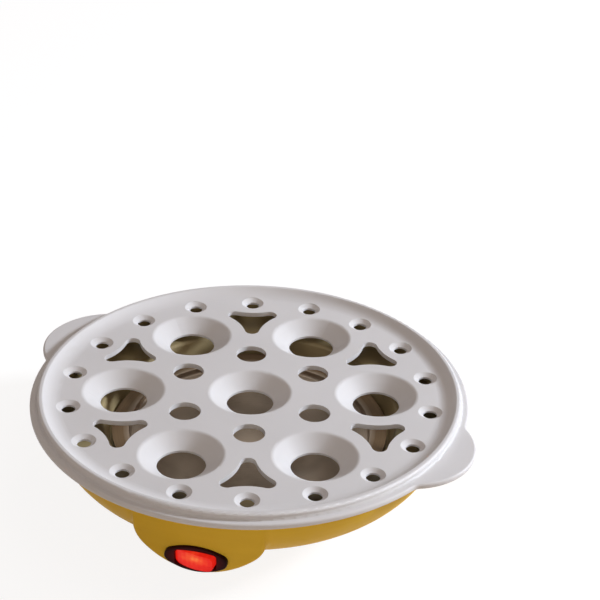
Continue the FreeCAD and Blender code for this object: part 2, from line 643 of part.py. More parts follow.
def barrel(far, high, bend, side):
    """An outline with straight ends, rounded corners and long sides that bulge."""
    sink = f"({side} - {high})"
    rise = f"(sqrt(({side} - {bend})^2 - ({far} - {bend})^2) - {sink})"
    share = f"({side} / ({side} - {bend}))"
    meet = (f"(({far} - {bend}) * {share})", f"(({rise} + {sink}) * {share} - {sink})")
    return [(far, f"-{rise}"), (far, rise, bend, "left"), (meet[0], meet[1], side, "left"),
            (f"-{meet[0]}", meet[1], bend, "left"), (f"-{far}", rise), (f"-{far}", f"-{rise}", bend, "left"),
            (f"-{meet[0]}", f"-{meet[1]}", side, "left"), (meet[0], f"-{meet[1]}", bend, "left")]


def case_corners(grow):
    """The outline of the switch's case, grown by a clearance."""
    return barrel(f"(case_length + {grow})", f"(case_height + {grow})", f"(case_corner + {grow})",
                  f"(case_side + {grow})")


def chin_solid(body, inset, top):
    """The chin: an arched outline run back into the bowl, with a front that goes round the bowl's axis."""
    raised(body, "Pad", outline(chin_sketch(body, "-chin_depth / 4"), chin_corners(inset, top)), "chin_depth",
           reverse=True)
    low, high = "0", "(deck_height + chin_top)"
    skin = f"(chin_radius - {inset} / cos(chin_tilt))"
    turned(body, "Groove", [
        (f"{skin} + ({low} - chin_height) * tan(chin_tilt)", low), ("flange_radius * 2", low),
        ("flange_radius * 2", high), (f"{skin} + ({high} - chin_height) * tan(chin_tilt)", high)])


def on_bowl_skin(point):
    """Whether a point lies on the outer skin of the bowl."""
    radius = math.hypot(point.x, point.y)
    slope = math.radians(value("bowl_slope"))
    side = value("bowl_round")
    centre = Vector(value("bowl_radius") - side, value("bowl_top"), 0)
    knee = centre + Vector(math.sin(slope), -math.cos(slope), 0) * side
    if point.z > knee.y:
        return abs(math.hypot(radius - centre.x, point.z - centre.y) - side) < 0.05
    return abs((radius - knee.x) * math.sin(slope) - (point.z - knee.y) * math.cos(slope)) < 0.05


def outer_bowl():
    bowl = doc.addObject("PartDesign::Body", "bowl_body")
    turned(bowl, "Revolution", bowl_corners("0"))

    # The chin for the switch, cut level under the tray's flange, and the rear boss for the cord.
    chin_solid(bowl, "0", "chin_top")
    above = circle(sketch_on(bowl, "XY_Plane", lift="bowl_top"), "0", "0", "flange_radius * 2")
    raised(bowl, "Pocket", above, "chin_top * 2", reverse=True)
    lean = math.tan(math.radians(value("chin_tilt")))

    def points_of(edge):
        share = (edge.LastParameter - edge.FirstParameter) / 4
        return [edge.valueAt(edge.FirstParameter + share * step) for step in range(5)]

    def at_chin_front(edge):
        skins = [value("chin_radius") + (point.z - value("chin_height")) * lean for point in points_of(edge)]
        fronts = [abs(math.hypot(point.x, point.y) - skin) < 0.02
                  for point, skin in zip(points_of(edge), skins)]
        return all(fronts) and not level(edge, value("bowl_top"))

    def at_chin_root(edge):
        points = points_of(edge)
        near = all(abs(point.x) < value("chin_half") + 0.01 and point.y < 0 for point in points)
        return near and all(on_bowl_skin(point) for point in points) and edge.BoundBox.ZLength > 0.05

    rounded(bowl, "chin_edge", at_chin_front)
    rounded(bowl, "chin_root", at_chin_root)
    raised(bowl, "Pad", circle(rear_sketch(bowl, "boss_reach"), "0", "0", "boss_radius"), "boss_length")

    # The inside, the flat seat and cut-out for the switch, and the passage for the cord.
    turned(bowl, "Groove", bowl_corners("bowl_wall"))
    seat = outline(chin_sketch(bowl, "-bezel_proud * 2"), bezel_corners("seat_gap / 2"))
    raised(bowl, "Pocket", seat, "bezel_proud * 2")
    cutout = outline(chin_sketch(bowl, "-bowl_wall"), case_corners("seat_gap / 2"))
    raised(bowl, "Pocket", cutout, "bowl_wall * 3")
    beside = "(case_length + bowl_wall)"
    room = box_corners(f"-{beside}", beside, "-case_height - seat_gap", "case_height * 2")
    raised(bowl, "Pocket", outline(chin_sketch(bowl, "bowl_wall"), room), "chin_depth / 2")
    hollow = circle(rear_sketch(bowl, "boss_reach - boss_wall"), "0", "0", "boss_radius - boss_wall")
    raised(bowl, "Pocket", hollow, "boss_length", reverse=True)
    mouth = circle(rear_sketch(bowl, "boss_reach + boss_wall"), "0", "0", "bush_neck + running_gap")
    raised(bowl, "Pocket", mouth, "boss_wall * 3", reverse=True)

    # Posts for the screws: each grows down into the wall, with a deep well for the screw head.
    post = circle(sketch_on(bowl, "XY_Plane", lift="post_top", turn="post_turn"),
                  "post_ring", "0", "post_radius")
    grown = raised(bowl, "Pad", post, "post_top", reverse=True)
    grown.Type = "UpToFirst"
    ring_of(bowl, [grown], "post_count")
    well = circle(sketch_on(bowl, "XY_Plane", turn="post_turn"), "post_ring", "0", "screw_head + seat_gap")
    shank = circle(sketch_on(bowl, "XY_Plane", turn="post_turn"),
                   "post_ring", "0", "screw_radius + running_gap")
    wells = raised(bowl, "Pocket", well, "post_top - post_web", reverse=True)
    ring_of(bowl, [wells], "post_count")
    shanks = raised(bowl, "Pocket", shank, "post_top + post_web", reverse=True)
    ring_of(bowl, [shanks], "post_count")

    # Vent slots and foot holes in the floor.
    slot = outline(sketch_on(bowl, "XY_Plane"), [
        ("vent_start", "-vent_half"), ("vent_end", "-vent_half", "vent_half * 1.001", "left"),
        ("vent_end", "vent_half"), ("vent_start", "vent_half", "vent_half * 1.001", "left")])
    slots = raised(bowl, "Pocket", slot, "floor_top + bowl_wall", reverse=True)
    ring_of(bowl, [slots], "vent_count")
    stem = circle(sketch_on(bowl, "XY_Plane", turn="post_turn"), "foot_ring", "0", "foot_stem + running_gap")
    stems = raised(bowl, "Pocket", stem, "floor_top + bowl_wall", reverse=True)
    ring_of(bowl, [stems], "post_count")

    # The space in the chin, open to the inside of the bowl.
    core = doc.addObject("PartDesign::Body", "chin_core")
    chin_solid(core, "bowl_wall", "chin_ceiling")
    hollowed = node("outer_bowl", "Part::Cut")
    hollowed.Base = bowl
    hollowed.Tool = core


def inner_funnel():
    funnel = node("inner_funnel")
    rim = "(funnel_radius - funnel_wall)"
    foot = "(shoulder_outer - funnel_wall)"
    bowl_inside = f"(bowl_radius - bowl_round + sqrt((bowl_round - bowl_wall)^2 - (bowl_top - {foot})^2))"
    turned(funnel, "Revolution", [
        ("ledge_opening", "ledge_under"), ("ledge_radius + funnel_wall", "ledge_under"),
        ("throat_radius + funnel_wall", "shoulder_inner - funnel_wall"),
        (f"{bowl_inside} - seat_gap", foot), ("funnel_radius", "seat_level"), (rim, "seat_level"),
        (rim, "shoulder_outer"), ("throat_radius", "shoulder_inner"), ("ledge_radius", "ledge_height"),
        ("ledge_opening", "ledge_height")])
    rounded(funnel, "funnel_wall * 0.75", lambda edge: level(edge, value("shoulder_inner")))

    # Bosses that stand on the bowl's posts, drilled for the screws.
    boss = circle(sketch_on(funnel, "XY_Plane", lift="post_top", turn="post_turn"), "post_ring", "0",
                  "post_radius - seat_gap")
    grown = raised(funnel, "Pad", boss, "post_top")
    grown.Type = "UpToFirst"
    ring_of(funnel, [grown], "post_count")
    pilot = circle(sketch_on(funnel, "XY_Plane", lift="post_top", turn="post_turn"), "post_ring", "0",
                   "screw_radius + running_gap")
    pilots = raised(funnel, "Pocket", pilot, "screw_length - post_web + seat_gap", reverse=True)
    ring_of(funnel, [pilots], "post_count")


def housing_screws():
    """Pan-head screws from below, through the posts into the funnel."""
    screws = node("housing_screws")
    screws.AllowCompound = True
    under = "(post_top - post_web)"
    screw = turned(screws, "Revolution", [
        ("post_ring", f"{under} - head_rise"),
        ("post_ring + screw_head - head_rise / 3", f"{under} - head_rise"),
        ("post_ring + screw_head", f"{under} - head_rise / 2"), ("post_ring + screw_head", under),
        ("post_ring + screw_radius", under),
        ("post_ring + screw_radius", f"{under} + screw_length - screw_radius"),
        ("post_ring", f"{under} + screw_length")], "post_ring")
    cross = sketch_on(screws, "XY_Plane", lift=f"{under} - head_rise")
    arm = "screw_head * 0.55"
    half = "screw_head * 0.12"
    outline(cross, box_corners(f"post_ring - {arm}", f"post_ring + {arm}", f"-{half}", half))
    slot = raised(screws, "Pocket", cross, "head_rise / 2", reverse=True)
    second = outline(sketch_on(screws, "XY_Plane", lift=f"{under} - head_rise"),
                     box_corners(f"post_ring - {half}", f"post_ring + {half}", f"-{arm}", arm))
    other = raised(screws, "Pocket", second, "head_rise / 2", reverse=True)
    ring_of(screws, [screw, slot, other], "post_count")
    spin(screws, "post_turn")


def feet():
    """Rubber feet, pushed into the bowl's floor."""
    for number in range(int(value("post_count"))):
        foot = node(f"foot_{number + 1}")
        barb = "(floor_top + running_gap)"
        turned(foot, "Revolution", [
            ("foot_ring", "0"), ("foot_ring + foot_radius - foot_round", "0", "foot_round", "left"),
            ("foot_ring + foot_radius", "foot_round"), ("foot_ring + foot_radius", "bowl_floor"),
            ("foot_ring + foot_stem", "bowl_floor"), ("foot_ring + foot_stem", barb),
            ("foot_ring + foot_barb", barb), ("foot_ring + foot_stem * 0.6", f"{barb} + foot_stem"),
            ("foot_ring", f"{barb} + foot_stem")], "foot_ring")
        spin(foot, f"post_turn + 360 * {number} / post_count")


def cord_bush():
    """A rubber bush that snaps into the rear boss."""
    bush = node("cord_bush")
    front = "boss_reach"
    inside = "(boss_reach - boss_wall)"
    sketch = outline(sketch_on(bush, "XY_Plane", lift="boss_height"), [
        ("bush_bore", f"{inside} - bush_lip_length"),
        ("bush_lip - bush_lip_length / 2", f"{inside} - bush_lip_length"),
        ("bush_lip", inside), ("bush_neck", inside), ("bush_neck", front), ("bush_flange", front),
        ("bush_flange", f"{front} + bush_proud / 2"),
        ("bush_flange - bush_proud / 2", f"{front} + bush_proud"),
        ("bush_bore", f"{front} + bush_proud")])
    made = bush.newObject("PartDesign::Revolution", "Revolution")
    made.Profile = sketch
    made.ReferenceAxis = (sketch, ["V_Axis"])


# The heated dish and what hangs under it


def heating_dish():
    gasket = node("plate_gasket")
    turned(gasket, "Revolution", box_corners(
        "ledge_opening + seat_gap", "dish_radius", "ledge_height", "dish_flange"))

    dish = node("heating_plate")
    outside = "(dish_bend + dish_metal)"
    under = "dish_flange"
    floor = "dish_under"
    wall = "(dish_well - dish_metal)"
    turned(dish, "Revolution", [
        ("0", floor), (f"dish_well - {outside}", floor, outside, "left"),
        ("dish_well", f"{floor} + {outside}"), ("dish_well", under), ("dish_radius", under),
        ("dish_radius", f"{under} + dish_metal"), (f"{wall} + dish_metal / 2", f"{under} + dish_metal",
                                                   "dish_metal / 2", "left"),
        (wall, f"{under} + dish_metal / 2"), (wall, f"{floor} + {outside}", "dish_bend", "right"),
        (f"{wall} - dish_bend", f"{floor} + dish_metal"), ("0", f"{floor} + dish_metal")])

    studs = node("plate_studs")
    studs.AllowCompound = True
    stud = turned(studs, "Revolution", [
        ("stud_ring", f"{floor} - stud_length"), ("stud_ring + screw_radius * 0.8", f"{floor} - stud_length"),
        ("stud_ring + screw_radius", f"{floor} - stud_length + screw_radius * 0.2"),
        ("stud_ring + screw_radius", floor), ("stud_ring", floor)], "stud_ring")
    ring_of(studs, [stud], "stud_count")
    spin(studs, "stud_turn")

    clamp = node("clamp_ring")
    turned(clamp, "Revolution", box_corners(
        "clamp_inner", "clamp_outer", "ledge_under - clamp_thick", "ledge_under"))
    hole = circle(sketch_on(clamp, "XY_Plane", lift="ledge_under"),
                  "stud_ring", "0", "screw_radius + seat_gap")
    ring_of(clamp, [raised(clamp, "Pocket", hole, "clamp_thick * 2")], "stud_count")
    spin(clamp, "stud_turn")

    nuts = node("clamp_nuts")
    nuts.AllowCompound = True
    sketch = sketch_on(nuts, "XY_Plane", lift="ledge_under - clamp_thick")
    point = "nut_half / cos(30)"
    outline(sketch, [(f"stud_ring + {point} * cos({angle})", f"{point} * sin({angle})")
                     for angle in range(30, 390, 60)])
    circle(sketch, "stud_ring", "0", "screw_radius + running_gap")
    ring_of(nuts, [raised(nuts, "Pad", sketch, "nut_height", reverse=True)], "stud_count")
    spin(nuts, "stud_turn")


def heat_spreader():
    spreader = node("heat_spreader")
    turned(spreader, "Revolution", box_corners("0", "spreader_radius", "spreader_under", "dish_under"))
    for across, along in (("ear_span", "0"), ("-ear_span", "0"), ("0", "-(fuse_place + clip_foot)")):
        hole = circle(sketch_on(spreader, "XY_Plane", lift="dish_under"),
                      across, along, "screw_radius + running_gap")
        raised(spreader, "Pocket", hole, "spreader_thick * 2")


def heating_element():
    """A sheathed ring, flat where it is brazed to the spreader, with a pin in each sealed end."""
    element = node("heating_element")
    flat = "sqrt(element_radius^2 - element_flat^2)"
    turned(element, "Revolution", [
        (f"element_ring + {flat}", "spreader_under"),
        (f"element_ring - {flat}", "spreader_under", "element_radius", "left"),
        ("element_ring", "element_middle - element_radius", "element_radius", "left")],
        angle="360 - element_gap")
    spin(element, "90 + element_gap / 2")

    for name, side in (("element_pin_left", 1), ("element_pin_right", -1)):
        pin = node(name)
        sketch = sketch_on(pin, "XY_Plane", lift="element_middle")
        end = "(seal_length + pin_length)"
        outline(sketch, [
            ("element_ring", "0"), ("element_ring + seal_radius", "0"),
            ("element_ring + seal_radius", f"{-side} * seal_length"),
            ("element_ring + pin_radius", f"{-side} * seal_length"),
            ("element_ring + pin_radius", f"{-side} * {end}"),
            ("element_ring", f"{-side} * {end}")])
        axis_line(sketch, "element_ring")
        made = pin.newObject("PartDesign::Revolution", "Revolution")
        made.Profile = sketch
        made.ReferenceAxis = (sketch, ["Axis0"])
        spin(pin, f"90 + {side} * element_gap / 2")


def thermostat():
    cap = node("thermostat_cap")
    turned(cap, "Revolution", box_corners("0", "thermo_radius", "cap_under", "spreader_under"))
    far = "ear_span + ear_half"
    ears = outline(sketch_on(cap, "XY_Plane", lift="cap_under"),
                   box_corners(f"-({far})", far, "-ear_half", "ear_half"))
    raised(cap, "Pad", ears, "ear_plate", reverse=True)
    for across in ("ear_span", "-ear_span"):
        hole = circle(sketch_on(cap, "XY_Plane", lift="cap_under"), across, "0", "screw_radius + running_gap")
        raised(cap, "Pocket", hole, "ear_plate * 2")

    body = node("thermostat_body")
    top = "(cap_under - ear_plate)"
    turned(body, "Revolution", [
        ("0", "thermo_under"), ("thermo_radius - ear_plate", "thermo_under"),
        ("thermo_radius - ear_plate", "thermo_under + ear_plate"),
        ("thermo_radius", "thermo_under + ear_plate"), ("thermo_radius", top), ("0", top)])

    for name, side in (("thermostat_tab_front", 0), ("thermostat_tab_back", 180)):
        tab = node(name)
        sketch = outline(sketch_on(tab, "XY_Plane", lift="thermo_under"),
                         box_corners("-tab_half", "tab_half", "-thermo_tab", "-tab_half"))
        raised(tab, "Pad", sketch, "tab_thick", reverse=True)
        spin(tab, str(side))

    screws = node("thermostat_screws")
    screws.AllowCompound = True
    under = "(cap_under - ear_plate)"
    screw = turned(screws, "Revolution", screw_corners(
        "ear_span", under, "cap_height + ear_plate + spreader_thick / 2"), "ear_span")
    ring_of(screws, [screw], "2")


def screw_corners(across, under, length):
    """A pan-head screw whose head hangs below the face that it holds."""
    return [(across, f"{under} - head_rise"), (f"{across} + screw_head * 0.8", f"{under} - head_rise"),
            (f"{across} + screw_head", f"{under} - head_rise / 2"), (f"{across} + screw_head", under),
            (f"{across} + screw_radius", under), (f"{across} + screw_radius", f"{under} + {length}"),
            (across, f"{under} + {length}")]


def thermal_fuse():
    fuse = node("thermal_fuse")
    sketch = circle(sketch_on(fuse, "YZ_Plane"), "-fuse_place", "fuse_middle", "fuse_radius")
    raised(fuse, "Pad", sketch, "fuse_half * 2", both_ways=True)

    # A strap under the fuse with one foot towards the front, held by a screw.
    clip = node("fuse_clip")
    inner = "(fuse_radius + running_gap)"
    outer = "(fuse_radius + running_gap + clip_metal)"
    near = "-fuse_place"
    sketch = outline(sketch_on(clip, "YZ_Plane"), [
        (f"{near} - {outer} - clip_foot + clip_metal", "spreader_under - clip_metal"),
        (f"{near} - {outer}", "spreader_under - clip_metal"),
        (f"{near} - {outer}", "fuse_middle", outer, "left"),
        (near, f"fuse_middle - {outer}", outer, "left"), (f"{near} + {outer}", "fuse_middle"),
        (f"{near} + {outer}", "spreader_under"), (f"{near} + {inner}", "spreader_under"),
        (f"{near} + {inner}", "fuse_middle", inner, "right"),
        (near, f"fuse_middle - {inner}", inner, "right"),
        (f"{near} - {inner}", "fuse_middle"), (f"{near} - {inner}", "spreader_under"),
        (f"{near} - {outer} - clip_foot + clip_metal", "spreader_under")])
    raised(clip, "Pad", sketch, "clip_half * 2", both_ways=True)
    hole = circle(sketch_on(clip, "XY_Plane", lift="spreader_under"), "0", "-(fuse_place + clip_foot)",
                  "screw_radius + running_gap")
    raised(clip, "Pocket", hole, "clip_metal * 2")

    screw = node("clip_screw")
    turned(screw, "Revolution", screw_corners("(fuse_place + clip_foot)", "(spreader_under - clip_metal)",
                                              "clip_metal + spreader_thick / 2"), "(fuse_place + clip_foot)")
    spin(screw, "-90")


# The switch, drawn in its own frame: +Y goes into the chin and +Z up along its face


def in_chin(body):
    """Place a body of the switch on its seat in the chin."""
    body.Placement = Placement(Vector(), Rotation(Vector(1, 0, 0), value("chin_tilt")))
    body.setExpression("Placement.Rotation.Angle", f"({bound('chin_tilt')}) * 1 deg")
    bind(body, Placement__Base__y="-switch_reach", Placement__Base__z="chin_height")


def bezel_corners(grow):
    """A four-arc oval, from its right end, grown by a clearance."""
    far, high, end = f"(bezel_length + {grow})", f"(bezel_height + {grow})", f"(bezel_end + {grow})"
    side = f"((({far} - {end})^2 + {high}^2 - {end}^2) / (2 * ({high} - {end})))"
    share = f"({side} / ({side} - {end}))"
    meet = (f"(({far} - {end}) * {share})", f"(({side} - {high}) * ({share} - 1))")
    return [(meet[0], f"-{meet[1]}", end, "left"), (meet[0], meet[1], side, "left"),
            (f"-{meet[0]}", meet[1], end, "left"), (f"-{meet[0]}", f"-{meet[1]}", side, "left")]


def switch_housing():
    housing = node("switch_housing")
    raised(housing, "Pad", outline(sketch_on(housing, "XZ_Plane"), bezel_corners("0")), "bezel_proud")
    front = -value("bezel_proud")
    rounded(housing, "bezel_edge", lambda edge: abs(edge.BoundBox.YMin - front) < 0.01
            and abs(edge.BoundBox.YMax - front) < 0.01)
    case = outline(sketch_on(housing, "XZ_Plane"), case_corners("0"))
    raised(housing, "Pad", case, "case_depth", reverse=True)
    window = outline(sketch_on(housing, "XZ_Plane", lift="bezel_proud * 2"), case_corners("-case_wall"))
    raised(housing, "Pocket", window, "bezel_proud * 2 + case_depth - case_floor")
    rounded(housing, "bezel_edge / 2", lambda edge: abs(edge.BoundBox.YMax - front) < 0.01
            and abs(edge.CenterOfMass.x) < value("case_length")
            and abs(edge.CenterOfMass.z) < value("case_height"))
    bearing = circle(sketch_on(housing, "XY_Plane"), "0", "0", "pivot_radius + running_gap")
    raised(housing, "Pocket", bearing, "(case_height - case_wall + pivot_reach) * 2", both_ways=True)
    for place in ("-tab_spacing", "0", "tab_spacing"):
        slot = outline(sketch_on(housing, "XZ_Plane", lift="-case_depth * 1.5"), box_corners(
            f"{place} - tab_thick / 2 - running_gap", f"{place} + tab_thick / 2 + running_gap",
            "-(tab_half + running_gap)", "tab_half + running_gap"))
        raised(housing, "Pocket", slot, "case_depth * 0.5 + case_floor * 2", reverse=True)
    in_chin(housing)


def rocker_sketch(body):
    """A plan of the rocker, turned to the tilt at which it rests."""
    return sketch_on(body, "XY_Plane", turn="-rocker_rest")


def switch_rocker():
    rocker = node("switch_rocker")
    hollow_round = "((rocker_end^2 + rocker_sag^2) / (2 * rocker_sag))"
    waist = "sqrt(rocker_sweep^2 - rocker_end^2)"
    heel = "sqrt(rocker_sweep^2 - rocker_back^2)"
    plan = [("-rocker_end", "-rocker_front", hollow_round, "left"), ("rocker_end", "-rocker_front"),
            ("rocker_end", f"-{waist}", "rocker_sweep", "left"), (heel, "rocker_back"),
            (f"-{heel}", "rocker_back", "rocker_sweep", "left"), ("-rocker_end", f"-{waist}")]
    raised(rocker, "Pad", outline(rocker_sketch(rocker), plan), "rocker_high * 2", both_ways=True)
    around = outline(sketch_on(rocker, "XZ_Plane", turn="-rocker_rest"), box_corners(
        "-rocker_sweep * 2", "rocker_sweep * 2", "-rocker_high * 2", "rocker_high * 2"))
    outline(around, barrel("rocker_sweep", "rocker_high", "rocker_corner", "case_side"))
    raised(rocker, "Pocket", around, "rocker_sweep * 4", both_ways=True)

    # Hollow behind, with a tube for the plunger, and a pivot at each side.
    hollow = outline(rocker_sketch(rocker), box_corners(
        "-rocker_room", "rocker_room", "rocker_deep", "rocker_back + rocker_skin"))
    raised(rocker, "Pocket", hollow, "(rocker_high - rocker_skin) * 2", both_ways=True)
    post = outline(rocker_sketch(rocker), box_corners(
        "0", "tube_radius", "rocker_deep - rocker_skin / 4", "rocker_back"))
    made = rocker.newObject("PartDesign::Revolution", "Revolution")
    made.Profile = post
    made.ReferenceAxis = (post, ["V_Axis"])
    bore = outline(rocker_sketch(rocker), box_corners(
        "0", "plunger_radius + running_gap", "rocker_deep + rocker_skin / 4", "rocker_back * 2"))
    cut = rocker.newObject("PartDesign::Groove", "Groove")
    cut.Profile = bore
    cut.ReferenceAxis = (bore, ["V_Axis"])
    for side in (1, -1):
        inside = f"{side} * (rocker_high - rocker_skin / 2)"
        pivot = circle(sketch_on(rocker, "XY_Plane", lift=inside), "0", "0", "pivot_radius")
        outwards = "rocker_skin / 2 + rocker_gap + pivot_reach - running_gap"
        raised(rocker, "Pad", pivot, outwards, reverse=side < 0)
    in_chin(rocker)


def switch_contacts():
    plunger = node("contact_plunger")
    nose = "(plunger_tip - plunger_radius)"
    profile = outline(rocker_sketch(plunger), [
        ("0", "plunger_start"), ("plunger_radius", "plunger_start"),
        ("plunger_radius", nose, "plunger_radius", "left"),
        ("0", "plunger_tip")])
    made = plunger.newObject("PartDesign::Revolution", "Revolution")
    made.Profile = profile
    made.ReferenceAxis = (profile, ["V_Axis"])
    in_chin(plunger)

    lamp = node("neon_lamp")
    glass = circle(rocker_sketch(lamp), "-lamp_place", "lamp_deep", "lamp_radius")
    raised(lamp, "Pad", glass, "lamp_half * 2", both_ways=True)
    rounded(lamp, "lamp_radius * 0.6", lambda edge: edge.BoundBox.ZLength < 0.01)
    in_chin(lamp)

    blade = node("contact_blade")
    sketch = sketch_on(blade, "XY_Plane", turn="blade_rest")
    bind(sketch, AttachmentOffset__Base__y="blade_pivot")
    tip = "blade_half * 0.75"
    outline(sketch, [("-blade_half", "-blade_thick"), ("blade_half", "-blade_thick"),
                     ("blade_half", "blade_thick / 2"), (tip, "blade_thick / 2"), (tip, "0"),
                     (f"-{tip}", "0"), (f"-{tip}", "blade_thick / 2"), ("-blade_half", "blade_thick / 2")])
    raised(blade, "Pad", sketch, "blade_width * 2", both_ways=True)
    # The rolled bead the blade rocks on.
    bead = sketch_on(blade, "XY_Plane")
    bind(bead, AttachmentOffset__Base__y="blade_pivot")
    raised(blade, "Pad", circle(bead, "0", "0", "bead_radius"), "blade_width * 2", both_ways=True)
    in_chin(blade)

    for name, place, start in (("switch_tab_left", "-tab_spacing", "contact_reach"),
                               ("switch_tab_middle", "0", "blade_pivot + bead_radius + seat_gap"),
                               ("switch_tab_right", "tab_spacing", "contact_reach")):
        tab = node(name)
        sketch = outline(sketch_on(tab, "XY_Plane"), box_corners(
            f"{place} - tab_thick / 2", f"{place} + tab_thick / 2", start, "tab_reach"))
        raised(tab, "Pad", sketch, "tab_half * 2", both_ways=True)
        in_chin(tab)


def tab_socket(name):
    """A flag sleeve round a spade tab: a closed box with a slot, in the tab's own frame."""
    socket = node(name)
    block = outline(sketch_on(socket, "XY_Plane"), box_corners(
        "-socket_side", "socket_side", "-socket_length", "socket_floor"))
    raised(socket, "Pad", block, "socket_half * 2", both_ways=True)
    rounded(socket, "socket_side * 0.4", lambda edge: edge.BoundBox.YLength > value("socket_length"))
    slot = outline(sketch_on(socket, "XY_Plane"), box_corners(
        "-(tab_thick / 2 + running_gap)", "tab_thick / 2 + running_gap", "-socket_length * 2", "running_gap"))
    raised(socket, "Pocket", slot, "(tab_half + running_gap) * 2", both_ways=True)
    return socket


def tab_sockets():
    for name, place in (("switch_socket_left", "-tab_spacing"), ("switch_socket_middle", "0"),
                        ("switch_socket_right", "tab_spacing")):
        socket = tab_socket(name)
        in_chin(socket)
        bind(socket, Placement__Base__x=place, Placement__Base__y="tab_reach * cos(chin_tilt) - switch_reach",
             Placement__Base__z="chin_height + tab_reach * sin(chin_tilt)")
    for name, way in (("thermostat_socket_front", -1), ("thermostat_socket_back", 1)):
        socket = tab_socket(name)
        flat = Rotation(Vector(0, 0, 1), 0 if way > 0 else 180) * Rotation(Vector(0, 1, 0), 90)
        socket.Placement = Placement(Vector(), flat)
        bind(socket, Placement__Base__y=f"{way} * thermo_tab",
             Placement__Base__z="thermo_under - tab_thick / 2")


# The internal leads


def lead_path(points, bend):
    """Straight runs joined by tangent arcs."""
    edges = []
    start = points[0]
    for before, corner, after in zip(points, points[1:], points[2:]):
        into = (corner - before).normalize()
        out = (after - corner).normalize()
        half = into.getAngle(out) / 2
        back = bend * math.tan(half)
        first = corner - into * back
        last = corner + out * back
        middle = corner + (out - into).normalize() * (bend / math.cos(half) - bend)
        edges.append(Part.LineSegment(start, first).toShape())
        edges.append(Part.Arc(first, middle, last).toShape())
        start = last
    edges.append(Part.LineSegment(start, points[-1]).toShape())
    return Part.Wire(edges)


def lead(name, points):
    """An insulated lead swept along a rounded path."""
    path = doc.addObject("Part::Feature", name + "_path")
    path.Shape = lead_path(points, value("lead_bend"))
    section = doc.addObject("Part::Circle", name + "_section")
    bind(section, Radius="lead_radius")
    section.Placement = Placement(points[0], Rotation(Vector(0, 0, 1), points[1] - points[0]))
    made = node(name, "Part::Sweep")
    made.Sections = [section]
    made.Spine = (path, [f"Edge{i}" for i in range(1, len(path.Shape.Edges) + 1)])
    made.Solid = True
    made.Frenet = False


def round_base(angle, lift=0.0):
    """A point on the ring where leads go round the base."""
    ring = value("lead_ring")
    turn = math.radians(angle)
    return Vector(ring * math.cos(turn), ring * math.sin(turn), value("lead_height") + lift)


def from_socket(place, run=0.0):
    """Where a lead leaves the back of a switch socket, or a run behind that."""
    deep = value("tab_reach + socket_floor") + run
    low = -value("socket_half") / 2
    tilt = math.radians(value("chin_tilt"))
    return Vector(value(place), deep * math.cos(tilt) - low * math.sin(tilt) - value("switch_reach"),
                  value("chin_height") + deep * math.sin(tilt) + low * math.cos(tilt))


def leads():
    bend = value("lead_bend")
    pair = value("lead_radius + seat_gap / 2")
    level_at = value("tab_level")
    low = level_at + value("lead_radius")
    tab_end = value("thermo_tab + socket_floor")
    fuse = Vector(value("fuse_half"), -value("fuse_place"), value("fuse_middle"))
    fuse_side = fuse.x + bend * 1.4
    ring = value("element_ring")
    pin_turn = math.radians(value("90 - element_gap / 2"))
    pin_way = Vector(-math.sin(pin_turn), math.cos(pin_turn), 0)
    pin = Vector(math.cos(pin_turn), math.sin(pin_turn), 0) * ring
    pin = pin + pin_way * value("seal_length + pin_length") + Vector(0, 0, value("element_middle"))
    live = Vector(value("crimp_side"), value("crimp_back"), value("crimp_height"))
    neutral = Vector(-live.x, live.y, live.z)
    into_cap = Vector(0, bend * 2, 0)

    # From the live crimp cap round the right side to the switch.
    lead("live_lead", [live, live - into_cap, round_base(62), round_base(28), round_base(-10),
                       round_base(-44), round_base(-70, bend * 0.7),
                       from_socket("tab_spacing", bend * 1.5), from_socket("tab_spacing")])
    # From the lamp's tab round the left side to the neutral crimp cap.
    entry = neutral - Vector(pair, 0, 0)
    lead("lamp_lead", [entry, entry - into_cap, round_base(118), round_base(152), round_base(190),
                       round_base(224), round_base(250, bend * 0.7),
                       from_socket("-tab_spacing", bend * 1.5), from_socket("-tab_spacing")])
    # From the middle tab under the element to the fuse.
    lead("switched_lead", [from_socket("0"), from_socket("0", bend * 1.4),
                           Vector(bend, -value("stud_ring"), low + value("lead_radius")),
                           Vector(fuse_side, -ring, low), Vector(fuse_side, fuse.y, low),
                           Vector(fuse_side, fuse.y, fuse.z), fuse])
    # From the fuse to the thermostat, and on to the element's right end.
    fuse_left = Vector(-fuse.x, fuse.y, fuse.z)
    front = -tab_end - bend * 2.4
    lead("fuse_lead", [fuse_left, Vector(-fuse_side, fuse.y, fuse.z), Vector(-fuse_side, fuse.y, level_at),
                       Vector(-bend * 3, front, level_at), Vector(0, front, level_at),
                       Vector(0, -tab_end, level_at)])
    pin_on = pin + pin_way * bend * 1.5
    lead("element_lead", [Vector(0, tab_end, level_at), Vector(0, tab_end + bend * 1.7, level_at),
                          Vector(pin_on.x, pin_on.y, level_at), pin_on, pin])
    # From the element's left end to the neutral crimp cap.
    entry = neutral + Vector(pair, 0, 0)
    pin_on = pin + pin_way * bend * 1.5
    lead("neutral_lead", [Vector(-pin.x, pin.y, pin.z), Vector(-pin_on.x, pin_on.y, pin_on.z),
                          entry - into_cap, entry])

    for name, side in (("crimp_cap_live", 1), ("crimp_cap_neutral", -1)):
        cap = node(name)
        dome = "crimp_radius * 0.6"
        end = "(crimp_back + crimp_length)"
        sketch = outline(sketch_on(cap, "XY_Plane", lift="crimp_height"), [
            ("0", "crimp_back"), ("crimp_radius", "crimp_back"),
            ("crimp_radius", f"{end} - {dome}", dome, "left"),
            (f"crimp_radius - {dome}", end), ("0", end)])
        made = cap.newObject("PartDesign::Revolution", "Revolution")
        made.Profile = sketch
        made.ReferenceAxis = (sketch, ["V_Axis"])
        bind(cap, Placement__Base__x=f"{side} * crimp_side")


